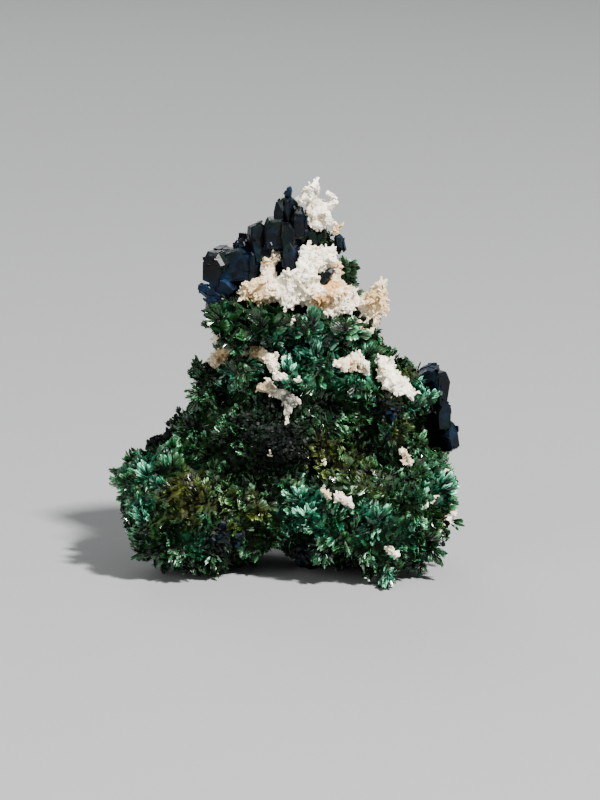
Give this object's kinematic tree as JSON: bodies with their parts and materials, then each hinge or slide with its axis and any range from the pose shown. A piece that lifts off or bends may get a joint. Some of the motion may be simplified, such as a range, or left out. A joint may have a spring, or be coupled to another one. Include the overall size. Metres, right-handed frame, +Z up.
{
  "type": "malachite specimen",
  "caption": "Small upright specimen of fibrous dark green malachite, narrowing to a spire, with white crystal crusts and dark blue azurite crystals, standing on flat-cut feet.",
  "frame": {"origin": "middle of the bounding box's bottom, on the surface that the specimen stands on", "axes": "+Z up, +Y from the front to the back, +X to the right seen from the front"},
  "size_m": [0.0322, 0.0192, 0.0373],
  "materials": {
    "malachite": "silky fibrous",
    "white_crystal": "sugary crystalline",
    "azurite": "glassy dark blue"
  },
  "bodies": {
    "root": {"malachite_mass": "malachite", "azurite_cluster": "azurite", "azurite_shelf_left": "azurite", "azurite_rim_right": "azurite", "azurite_band_summit": "azurite", "azurite_crystal_shoulder": "azurite", "azurite_crystal_right": "azurite", "white_crystals_summit": "white_crystal", "white_crust_shoulder": "white_crystal", "white_crust_band_left": "white_crystal", "white_crust_edge_left": "white_crystal", "white_chip_edge_upper": "white_crystal", "white_chip_band_centre": "white_crystal", "white_crust_right_inner": "white_crystal", "white_crust_right_outer": "white_crystal", "white_chip_right_small": "white_crystal", "white_chip_low_inner": "white_crystal", "white_chip_low_outer": "white_crystal", "white_crust_rim_right": "white_crystal", "white_chip_foot": "white_crystal", "white_chip_spire": "white_crystal", "white_crust_back_upper": "white_crystal", "white_crust_back_lower": "white_crystal", "white_chip_back": "white_crystal", "grey_crust_centre": "white_crystal"}
  },
  "joints": []
}
